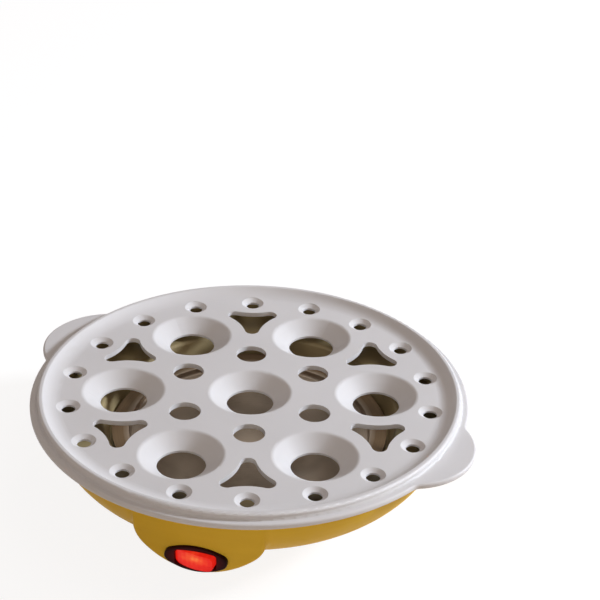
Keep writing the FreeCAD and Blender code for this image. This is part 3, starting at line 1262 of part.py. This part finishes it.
egg_tray()
outer_bowl()
inner_funnel()
housing_screws()
feet()
cord_bush()
heating_dish()
heat_spreader()
heating_element()
thermostat()
thermal_fuse()
switch_housing()
switch_rocker()
switch_contacts()
tab_sockets()
leads()
doc.recompute()

for made in doc.Objects:
    if "Invalid" in made.State or "Error" in made.State:
        raise RuntimeError(f"{made.Label} ({made.Name}) did not recompute")
os.makedirs("parts", exist_ok=True)
for made in NODES:
    if made.Shape.isNull() or not made.Shape.isValid():
        raise RuntimeError(f"{made.Label} has no valid shape")
    made.Shape.exportStep(f"parts/{made.Label}.step")
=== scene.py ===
"""Looks of a seven-egg cooker base: camera, studio and one procedural material for each finish."""

import math

import bpy
from mathutils import Matrix, Vector


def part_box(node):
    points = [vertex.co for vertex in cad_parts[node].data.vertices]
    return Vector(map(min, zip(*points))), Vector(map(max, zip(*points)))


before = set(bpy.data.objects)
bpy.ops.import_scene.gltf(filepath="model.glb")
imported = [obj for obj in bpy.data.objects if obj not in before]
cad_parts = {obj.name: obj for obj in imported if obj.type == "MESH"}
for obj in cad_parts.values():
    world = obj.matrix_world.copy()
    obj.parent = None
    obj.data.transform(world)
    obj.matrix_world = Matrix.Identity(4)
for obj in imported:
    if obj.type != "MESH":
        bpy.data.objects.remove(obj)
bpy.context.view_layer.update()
scene = bpy.context.scene
scene.view_settings.view_transform = "Standard"

# The camera stands in front of the switch, a little to its right, and looks down on the tray.
CAMERA_SPOT = Vector((0.1299, -0.5236, 0.3872))
CAMERA_AIM = Vector((0.0145, 0.0217, 0.0745))
CAMERA_ROLL = math.radians(1.80)
CAMERA_LENS = 96.2
CAMERA_NEAREST = 0.01
FILM_WIDTH = 36.0

# The floor's half width, its colour as it lights the object and as it is seen, and the glow that lifts
# what is seen to nearly white.
FLOOR_HALF = 3.0
FLOOR_WARM = (0.60, 0.52, 0.45, 1.0)
FLOOR_PALE = (0.24, 0.24, 0.24, 1.0)
FLOOR_LIFT = 0.87

# The dim warm room round the object, the white that is seen in its place, and the point in the tray
# that the lamps face.
ROOM_COLOUR = (1.0, 0.76, 0.65, 1.0)
ROOM_LEVEL = 0.21
WHITE = (1.0, 1.0, 1.0, 1.0)
LAMP_AIM = Vector((0.0, 0.0, 0.04))

# The places of the two colours and of their mixture among the sockets of a Mix node.
MIX_FIRST = 6
MIX_SECOND = 7
MIX_RESULT = 2

# Handling marks on plastic: how many times as long as wide they are, how deep, and how much rougher.
SCUFF_LENGTH = 28
SCUFF_DEPTH = 1e-6
SCUFF_ROUGH = 0.035

# Radii on the heating plate between which the steel turns from bright to darker and warmer.
DARKER_FROM = 0.048
DARKER_TO = 0.051

# Where the painted glow on the rocker is strongest, from the middle of its lamp, how far that painted glow
# reaches on it and on the black frame round it, and how much slower it falls off sideways than upwards.
PAINTED_GLOW_ASIDE = 0.0034
PAINTED_GLOW_ABOVE = 0.0008
PAINTED_GLOW_REACH = 0.0105
PAINTED_SPILL_REACH = 0.0085
PAINTED_GLOW_SHAPE = Vector((0.65, 1.0, 1.35))


def add_camera():
    data = bpy.data.cameras.new("camera")
    data.sensor_width = FILM_WIDTH
    data.lens = CAMERA_LENS
    data.clip_start = CAMERA_NEAREST
    camera = bpy.data.objects.new("camera", data)
    scene.collection.objects.link(camera)
    turn = (CAMERA_AIM - CAMERA_SPOT).to_track_quat("-Z", "Y").to_matrix()
    turn = turn @ Matrix.Rotation(CAMERA_ROLL, 3, "Z")
    camera.matrix_world = Matrix.Translation(CAMERA_SPOT) @ turn.to_4x4()
    scene.camera = camera


def emptied(owner):
    """The node tree of a material or world, cleared of the nodes it starts with."""
    owner.use_nodes = True
    owner.node_tree.nodes.clear()
    return owner.node_tree


def put(tree, kind, settings=None, **inputs):
    """A shader node with its settings, and its inputs set to a value or linked to a socket."""
    made = tree.nodes.new(kind)
    for name, value in (settings or {}).items():
        setattr(made, name, value)
    for name, value in inputs.items():
        feed(tree, made.inputs[name.replace("_", " ")], value)
    return made


def feed(tree, socket, value):
    """Sets a socket to a value, or links it to another socket."""
    if isinstance(value, bpy.types.NodeSocket):
        tree.links.new(value, socket)
    else:
        socket.default_value = value


def sums(tree, operation, first, second=0.0, clamp=False):
    """A sum, product or other operation on two values."""
    made = put(tree, "ShaderNodeMath", {"operation": operation, "use_clamp": clamp})
    feed(tree, made.inputs[0], first)
    feed(tree, made.inputs[1], second)
    return made.outputs[0]


def shared(tree, first, second, share):
    """A share of one value, and the rest from another."""
    kept = sums(tree, "MULTIPLY", first, share)
    return sums(tree, "ADD", kept, sums(tree, "MULTIPLY", second, 1.0 - share))


def spread(tree, value, low, high, from_low=0.0, from_high=1.0):
    """A value moved from one range to another, and held at the ends of it."""
    made = put(tree, "ShaderNodeMapRange", Value=value, From_Min=from_low, From_Max=from_high,
               To_Min=low, To_Max=high)
    return made.outputs["Result"]


def rise(tree, value, low, high):
    """0 up to a low value, 1 from a high one, and even between them."""
    return spread(tree, value, 0.0, 1.0, from_low=low, from_high=high)


def ramp(tree, value, stops):
    """Colours along a value from 0 to 1."""
    made = put(tree, "ShaderNodeValToRGB", Fac=value)
    marks = made.color_ramp.elements
    while len(marks) < len(stops):
        marks.new(0.5)
    for mark, (place, colour) in zip(marks, stops):
        mark.position = place
        mark.color = (*colour, 1.0)
    return made.outputs["Color"]


def mixed(tree, factor, first, second, blend="MIX"):
    """Two colours mixed by a factor."""
    made = put(tree, "ShaderNodeMix", {"data_type": "RGBA", "blend_type": blend}, Factor=factor)
    feed(tree, made.inputs[MIX_FIRST], first)
    feed(tree, made.inputs[MIX_SECOND], second)
    return made.outputs[MIX_RESULT]


def noise(tree, coords, scale, detail=3.0, rough=0.5):
    """Noise as a value from 0 to 1, with its scale in marks per metre."""
    made = put(tree, "ShaderNodeTexNoise", Vector=coords, Scale=scale, Detail=detail, Roughness=rough)
    return made.outputs["Fac"]


def bands(tree, coords, axis, scale, **more):
    """Soft bands across an axis, as a value from 0 to 1."""
    made = put(tree, "ShaderNodeTexWave", {"bands_direction": axis}, Vector=coords, Scale=scale, **more)
    return made.outputs["Fac"]


def stretched(tree, coords, scale, turn=0.0):
    """Coordinates scaled along each axis, for marks that run one way, and turned about the upright."""
    made = put(tree, "ShaderNodeMapping", Vector=coords, Scale=scale, Rotation=(0.0, 0.0, turn))
    return made.outputs["Vector"]


def bump(tree, height, depth, under=None):
    """A surface normal from a height between 0 and 1, whose full depth is given in metres."""
    made = put(tree, "ShaderNodeBump", Height=height, Distance=depth, Strength=1.0)
    if under is not None:
        tree.links.new(under, made.inputs["Normal"])
    return made.outputs["Normal"]


def finish(name):
    """A new material, its tree, its shader and coordinates in metres in the object's own frame."""
    material = bpy.data.materials.new(name)
    tree = emptied(material)
    shader = put(tree, "ShaderNodeBsdfPrincipled")
    out = put(tree, "ShaderNodeOutputMaterial")
    tree.links.new(shader.outputs["BSDF"], out.inputs["Surface"])
    coords = put(tree, "ShaderNodeTexCoord").outputs["Object"]
    return material, tree, shader, coords


def scuffs(tree, coords, scale, turn):
    """Fine straight handling marks, thin and far apart, as a value from 0 to 1."""
    along = stretched(tree, coords, (scale, scale * SCUFF_LENGTH, scale), turn)
    lines = rise(tree, noise(tree, along, 1.0, detail=2.0, rough=0.4), 0.66, 0.72)
    patches = rise(tree, noise(tree, coords, 45.0, detail=2.0), 0.50, 0.68)
    return sums(tree, "MULTIPLY", lines, patches, clamp=True)


def moulded_plastic(name, light, deep, rough, grain=6e-6, sink=6e-5, specular=0.5):
    """Moulded plastic: slow changes of tone, faint flow marks, sinks, fine grain and handling marks.

    The grain and the sinks are given by their depths in metres.
    """
    material, tree, shader, coords = finish(name)
    slow = noise(tree, coords, 24.0, detail=2.0)
    flow = noise(tree, stretched(tree, coords, (30.0, 30.0, 260.0)), 1.0, rough=0.6)
    tone = shared(tree, slow, flow, 0.6)
    feed(tree, shader.inputs["Base Color"], ramp(tree, tone, [(0.30, deep), (0.62, light)]))
    marks = sums(tree, "MAXIMUM", scuffs(tree, coords, 55.0, 0.5), scuffs(tree, coords, 48.0, -0.9))
    cloud = noise(tree, coords, 130.0, detail=4.0, rough=0.6)
    cloud = spread(tree, cloud, rough - 0.05, rough + 0.06, from_low=0.3, from_high=0.7)
    worn = sums(tree, "ADD", cloud, sums(tree, "MULTIPLY", marks, SCUFF_ROUGH))
    feed(tree, shader.inputs["Roughness"], worn)
    wave = bump(tree, noise(tree, coords, 42.0, detail=1.0), sink)
    fine = bump(tree, noise(tree, coords, 2400.0, detail=2.0), grain, wave)
    feed(tree, shader.inputs["Normal"], bump(tree, marks, -SCUFF_DEPTH, fine))
    shader.inputs["Specular IOR Level"].default_value = specular
    return material, tree, shader, coords


def tray_plastic():
    """White plastic that lets a little light in."""
    light = (0.77, 0.77, 0.77)
    deep = (0.73, 0.73, 0.73)
    material, _, shader, _ = moulded_plastic("tray_plastic", light, deep, 0.44, sink=3e-5, specular=0.30)
    shader.inputs["Subsurface Weight"].default_value = 0.12
    shader.inputs["Subsurface Radius"].default_value = (1.0, 0.9, 0.8)
    shader.inputs["Subsurface Scale"].default_value = 0.0015
    return material


def bowl_plastic():
    light = (0.90, 0.585, 0.045)
    deep = (0.82, 0.515, 0.034)
    return moulded_plastic("bowl_plastic", light, deep, 0.55, specular=0.20)[0]


def funnel_plastic():
    # Partly the funnel's own colour and partly painted shade: darker olive-brown than the yellow bowl, for
    # the little light reaching under the tray.
    light = (0.42, 0.34, 0.18)
    deep = (0.33, 0.265, 0.135)
    return moulded_plastic("funnel_plastic", light, deep, 0.46, grain=1.2e-5, specular=0.3)[0]


def in_front(node):
    """The middle of a node of the switch, brought forward to the rocker's face."""
    low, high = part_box(node)
    return Vector(((low.x + high.x) / 2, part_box("switch_rocker")[0].y, (low.z + high.z) / 2))


def near_spot(tree, coords, spot, reach):
    """1 at a spot on the front of the switch, falling to 0 at the given reach."""
    apart = put(tree, "ShaderNodeVectorMath", {"operation": "DISTANCE"})
    feed(tree, apart.inputs[0], stretched(tree, coords, PAINTED_GLOW_SHAPE))
    apart.inputs[1].default_value = spot * PAINTED_GLOW_SHAPE
    return spread(tree, apart.outputs["Value"], 1.0, 0.0, from_low=0.0, from_high=reach)


def switch_black():
    """Black plastic with a painted faint red glow at its inner edge, emitted in place of the rocker's
    light falling on it.
    """
    light = (0.007, 0.007, 0.008)
    deep = (0.004, 0.004, 0.005)
    material, tree, shader, coords = moulded_plastic("switch_black", light, deep, 0.30, sink=1e-5,
                                                     specular=0.04)
    # Painted light: the black frame emits a faint red glow near the rocker, standing in for the rocker's
    # light falling on it.
    painted_red_spill = near_spot(tree, coords, in_front("switch_rocker"), PAINTED_SPILL_REACH)
    shown = [(0.0, (0.0, 0.0, 0.0)), (0.5, (0.10, 0.001, 0.001))]
    feed(tree, shader.inputs["Emission Color"], ramp(tree, painted_red_spill, shown))
    shader.inputs["Emission Strength"].default_value = 0.6
    return material


def phenolic_brown():
    light = (0.030, 0.013, 0.007)
    deep = (0.017, 0.007, 0.004)
    return moulded_plastic("phenolic_brown", light, deep, 0.46, grain=2e-5)[0]


def sleeve_nylon():
    light = (0.60, 0.59, 0.54)
    deep = (0.52, 0.50, 0.44)
    return moulded_plastic("sleeve_nylon", light, deep, 0.42, sink=1e-5)[0]


def lead_brown():
    light = (0.060, 0.019, 0.008)
    deep = (0.045, 0.013, 0.005)
    return moulded_plastic("lead_brown", light, deep, 0.40, sink=1e-5)[0]


def lead_blue():
    light = (0.012, 0.045, 0.27)
    deep = (0.008, 0.032, 0.21)
    return moulded_plastic("lead_blue", light, deep, 0.40, sink=1e-5)[0]


def rubber(name, light, deep, rough, grain):
    """Rubber: matt, with a fine grain, given by its depth in metres, and pale dust in patches."""
    material, tree, shader, coords = finish(name)
    tone = noise(tree, coords, 160.0, detail=5.0, rough=0.62)
    feed(tree, shader.inputs["Base Color"], ramp(tree, tone, [(0.35, deep), (0.68, light)]))
    patchy = spread(tree, noise(tree, coords, 420.0), rough - 0.08, rough + 0.08)
    feed(tree, shader.inputs["Roughness"], patchy)
    coarse = bump(tree, noise(tree, coords, 900.0), grain * 2)
    fine = bump(tree, noise(tree, coords, 3200.0, detail=2.0), grain, coarse)
    feed(tree, shader.inputs["Normal"], fine)
    shader.inputs["Specular IOR Level"].default_value = 0.35
    return material


def black_rubber():
    return rubber("black_rubber", (0.030, 0.029, 0.028), (0.014, 0.014, 0.014), 0.72, 1.2e-5)


def seal_rubber():
    return rubber("seal_rubber", (0.55, 0.54, 0.50), (0.46, 0.44, 0.39), 0.55, 6e-6)


def from_axis(tree, coords):
    """Distance from the middle axis of the bowl, in metres."""
    flat = put(tree, "ShaderNodeVectorMath", {"operation": "MULTIPLY"})
    feed(tree, flat.inputs[0], coords)
    flat.inputs[1].default_value = (1.0, 1.0, 0.0)
    far = put(tree, "ShaderNodeVectorMath", {"operation": "LENGTH"})
    feed(tree, far.inputs[0], flat.outputs["Vector"])
    return far.outputs["Value"]


def water_scale(tree, coords):
    """Scale left by boiled water, in stains and faint tide lines, as a value from 0 to 1."""
    stain = rise(tree, noise(tree, coords, 75.0, detail=6.0, rough=0.62), 0.52, 0.70)
    tide = put(tree, "ShaderNodeTexWave", {"wave_type": "RINGS", "rings_direction": "Z"}, Vector=coords,
               Scale=11.0, Distortion=9.0, Detail=4.0, Detail_Scale=2.2)
    tide = rise(tree, tide.outputs["Fac"], 0.70, 1.0)
    return sums(tree, "MAXIMUM", sums(tree, "MULTIPLY", stain, 0.75), sums(tree, "MULTIPLY", tide, 0.35))


def plate_steel():
    """Spun steel: rings of fine turning marks, with water scale, and darker and warmer towards its outer
    edge.
    """
    material, tree, shader, coords = finish("plate_steel")
    radius = from_axis(tree, coords)
    rings = put(tree, "ShaderNodeTexNoise", {"noise_dimensions": "1D"}, W=radius, Scale=2600.0, Detail=3.0)
    rings = rings.outputs["Fac"]
    scale = water_scale(tree, coords)
    colour = ramp(tree, rings, [(0.25, (0.39, 0.31, 0.24)), (0.75, (0.50, 0.405, 0.315))])
    colour = mixed(tree, sums(tree, "MULTIPLY", scale, 0.5), colour, (0.30, 0.26, 0.21, 1.0))
    # The steel is made darker and warmer outward of these radii.
    darker_outward = rise(tree, radius, DARKER_FROM, DARKER_TO)
    colour = mixed(tree, darker_outward, colour, (0.50, 0.41, 0.30, 1.0), "MULTIPLY")
    feed(tree, shader.inputs["Base Color"], colour)
    feed(tree, shader.inputs["Metallic"], spread(tree, scale, 0.96, 0.55))
    brushed = spread(tree, rings, 0.44, 0.56)
    matted = sums(tree, "MULTIPLY", scale, 0.22)
    feed(tree, shader.inputs["Roughness"], sums(tree, "ADD", brushed, matted))
    turned = bump(tree, rings, 8e-6)
    feed(tree, shader.inputs["Normal"], bump(tree, scale, 1.5e-5, turned))
    return material


def metal(name, light, deep, rough, along, grain):
    """Bare or plated metal: a mottled tone, and lines with their scale along each axis.

    The grain is given by its depth in metres.
    """
    material, tree, shader, coords = finish(name)
    mottle = noise(tree, coords, 240.0, detail=4.0, rough=0.6)
    lines = noise(tree, stretched(tree, coords, along), 1.0)
    tone = shared(tree, mottle, lines, 0.55)
    feed(tree, shader.inputs["Base Color"], ramp(tree, tone, [(0.32, deep), (0.66, light)]))
    shader.inputs["Metallic"].default_value = 1.0
    patchy = spread(tree, tone, rough + 0.10, rough - 0.08, from_low=0.3, from_high=0.7)
    feed(tree, shader.inputs["Roughness"], patchy)
    drawn = bump(tree, lines, grain)
    feed(tree, shader.inputs["Normal"], bump(tree, noise(tree, coords, 1500.0), grain, drawn))
    return material


def zinc_steel():
    light = (0.56, 0.57, 0.58)
    deep = (0.42, 0.42, 0.43)
    return metal("zinc_steel", light, deep, 0.34, (400.0, 400.0, 2600.0), 6e-6)


def switch_brass():
    light = (0.60, 0.42, 0.14)
    deep = (0.46, 0.29, 0.09)
    return metal("switch_brass", light, deep, 0.34, (900.0, 3200.0, 900.0), 5e-6)


def cast_aluminium():
    light = (0.50, 0.50, 0.49)
    deep = (0.36, 0.36, 0.35)
    return metal("cast_aluminium", light, deep, 0.52, (700.0, 700.0, 700.0), 3e-5)


def element_sheath():
    light = (0.22, 0.20, 0.18)
    deep = (0.12, 0.10, 0.09)
    return metal("element_sheath", light, deep, 0.50, (900.0, 900.0, 500.0), 1e-5)


def fuse_sleeve():
    """A sleeve of woven glass thread."""
    material, tree, shader, coords = finish("fuse_sleeve")
    over = bands(tree, coords, "X", 640.0, Distortion=0.6)
    across = bands(tree, coords, "Z", 520.0, Distortion=0.6)
    weave = sums(tree, "MULTIPLY", over, across)
    thread = ramp(tree, weave, [(0.0, (0.46, 0.44, 0.37)), (0.6, (0.70, 0.69, 0.62))])
    feed(tree, shader.inputs["Base Color"], thread)
    feed(tree, shader.inputs["Roughness"], spread(tree, noise(tree, coords, 600.0), 0.70, 0.86))
    feed(tree, shader.inputs["Normal"], bump(tree, weave, 5e-5))
    return material


def rocker_red():
    """Clear red plastic glowing with painted light from the lamp inside, hottest in front of the lamp,
    with faint prisms on its back.
    """
    material, tree, shader, coords = finish("rocker_red")
    # Painted light: the rocker emits its own glow and hot spot in place of the lamp's light shining
    # through it.
    spot = in_front("neon_lamp") + Vector((PAINTED_GLOW_ASIDE, 0.0, PAINTED_GLOW_ABOVE))
    glow = near_spot(tree, coords, spot, PAINTED_GLOW_REACH)
    prisms = bands(tree, coords, "X", 170.0, Distortion=3.0, Detail=2.0, Detail_Scale=1.5)
    cloud = noise(tree, stretched(tree, coords, (330.0, 330.0, 560.0), 0.4), 1.0)
    glow = sums(tree, "ADD", glow, spread(tree, prisms, -0.03, 0.03))
    glow = sums(tree, "ADD", glow, spread(tree, cloud, -0.16, 0.16), clamp=True)
    shown = [(0.0, (0.34, 0.003, 0.002)), (0.30, (0.60, 0.007, 0.004)), (0.62, (0.78, 0.020, 0.009)),
             (0.84, (0.88, 0.085, 0.022)), (1.0, (0.96, 0.26, 0.06))]
    feed(tree, shader.inputs["Emission Color"], ramp(tree, glow, shown))
    shader.inputs["Emission Strength"].default_value = 0.85
    body = [(0.3, (0.30, 0.004, 0.003)), (0.7, (0.42, 0.008, 0.005))]
    feed(tree, shader.inputs["Base Color"], ramp(tree, cloud, body))
    feed(tree, shader.inputs["Roughness"], spread(tree, noise(tree, coords, 300.0), 0.12, 0.24))
    feed(tree, shader.inputs["Normal"], bump(tree, noise(tree, coords, 260.0, detail=2.0), 4e-5))
    shader.inputs["Specular IOR Level"].default_value = 0.12
    return material


def lamp_glass():
    """The glass of the lamp, glowing round its two wires."""
    material, tree, shader, coords = finish("lamp_glass")
    wires = bands(tree, coords, "X", 260.0)
    glow = ramp(tree, wires, [(0.2, (0.85, 0.22, 0.05)), (0.8, (1.0, 0.42, 0.12))])
    feed(tree, shader.inputs["Emission Color"], glow)
    shader.inputs["Emission Strength"].default_value = 1.2
    shader.inputs["Base Color"].default_value = (0.9, 0.6, 0.4, 1.0)
    feed(tree, shader.inputs["Roughness"], spread(tree, noise(tree, coords, 500.0), 0.05, 0.12))
    return material


def dress():
    """Gives each solid the finish of its own slot."""
    makers = (tray_plastic, bowl_plastic, funnel_plastic, plate_steel, seal_rubber, black_rubber,
              switch_black, rocker_red, lamp_glass, switch_brass, zinc_steel, cast_aluminium,
              element_sheath, phenolic_brown, sleeve_nylon, fuse_sleeve, lead_brown, lead_blue)
    made = {}
    for maker in makers:
        made[maker.__name__] = maker()
    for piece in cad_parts.values():
        for slot in piece.material_slots:
            slot.material = made[slot.material.name.split(".")[0]]


def seen_white(tree):
    """1 for rays from the camera, from gloss and through glass, which see the background."""
    rays = put(tree, "ShaderNodeLightPath")
    seen = sums(tree, "MAXIMUM", rays.outputs["Is Camera Ray"], rays.outputs["Is Glossy Ray"])
    return sums(tree, "MAXIMUM", seen, rays.outputs["Is Transmission Ray"])


def add_floor():
    """A pale floor that looks nearly white, and throws a warm light back at the object."""
    mesh = bpy.data.meshes.new("floor")
    corners = [(-FLOOR_HALF, -FLOOR_HALF, 0), (FLOOR_HALF, -FLOOR_HALF, 0),
               (FLOOR_HALF, FLOOR_HALF, 0), (-FLOOR_HALF, FLOOR_HALF, 0)]
    mesh.from_pydata(corners, [], [(0, 1, 2, 3)])
    floor = bpy.data.objects.new("floor", mesh)
    scene.collection.objects.link(floor)
    material = bpy.data.materials.new("floor")
    tree = emptied(material)
    warm = put(tree, "ShaderNodeBsdfDiffuse", Color=FLOOR_WARM)
    pale = put(tree, "ShaderNodeBsdfDiffuse", Color=FLOOR_PALE)
    lift = put(tree, "ShaderNodeEmission", Color=WHITE, Strength=FLOOR_LIFT)
    lifted = put(tree, "ShaderNodeAddShader")
    tree.links.new(pale.outputs[0], lifted.inputs[0])
    tree.links.new(lift.outputs[0], lifted.inputs[1])
    both = put(tree, "ShaderNodeMixShader", Fac=seen_white(tree))
    tree.links.new(warm.outputs[0], both.inputs[1])
    tree.links.new(lifted.outputs[0], both.inputs[2])
    out = put(tree, "ShaderNodeOutputMaterial")
    tree.links.new(both.outputs[0], out.inputs["Surface"])
    mesh.materials.append(material)


def add_world():
    """White where it is seen, and a soft warm room light for the rest."""
    world = bpy.data.worlds.new("studio")
    scene.world = world
    tree = emptied(world)
    room = put(tree, "ShaderNodeBackground", Color=ROOM_COLOUR, Strength=ROOM_LEVEL)
    white = put(tree, "ShaderNodeBackground", Color=WHITE, Strength=1.0)
    both = put(tree, "ShaderNodeMixShader", Fac=seen_white(tree))
    tree.links.new(room.outputs[0], both.inputs[1])
    tree.links.new(white.outputs[0], both.inputs[2])
    out = put(tree, "ShaderNodeOutputWorld")
    tree.links.new(both.outputs[0], out.inputs["Surface"])


def add_lamp(name, spot, size, watts, colour):
    """A soft round lamp that faces the tray."""
    data = bpy.data.lights.new(name, "AREA")
    data.shape = "DISK"
    data.size = size
    data.energy = watts
    data.color = colour
    lamp = bpy.data.objects.new(name, data)
    scene.collection.objects.link(lamp)
    spot = Vector(spot)
    turn = (LAMP_AIM - spot).to_track_quat("-Z", "Y")
    lamp.matrix_world = Matrix.Translation(spot) @ turn.to_matrix().to_4x4()


def add_lamps():
    """A cool window on the right and a little behind, a weak ceiling and a weak warm light in front."""
    add_lamp("window", (1.245, 0.515, 0.685), size=0.28, watts=24.0, colour=(0.82, 0.868, 0.96))
    add_lamp("ceiling", (0.45, 0.10, 1.45), size=1.0, watts=2.0, colour=(1.0, 0.94, 0.88))
    add_lamp("front_fill", (0.15, -1.35, 0.30), size=0.9, watts=2.7, colour=(1.0, 0.92, 0.82))


add_camera()
add_world()
add_floor()
add_lamps()
dress()
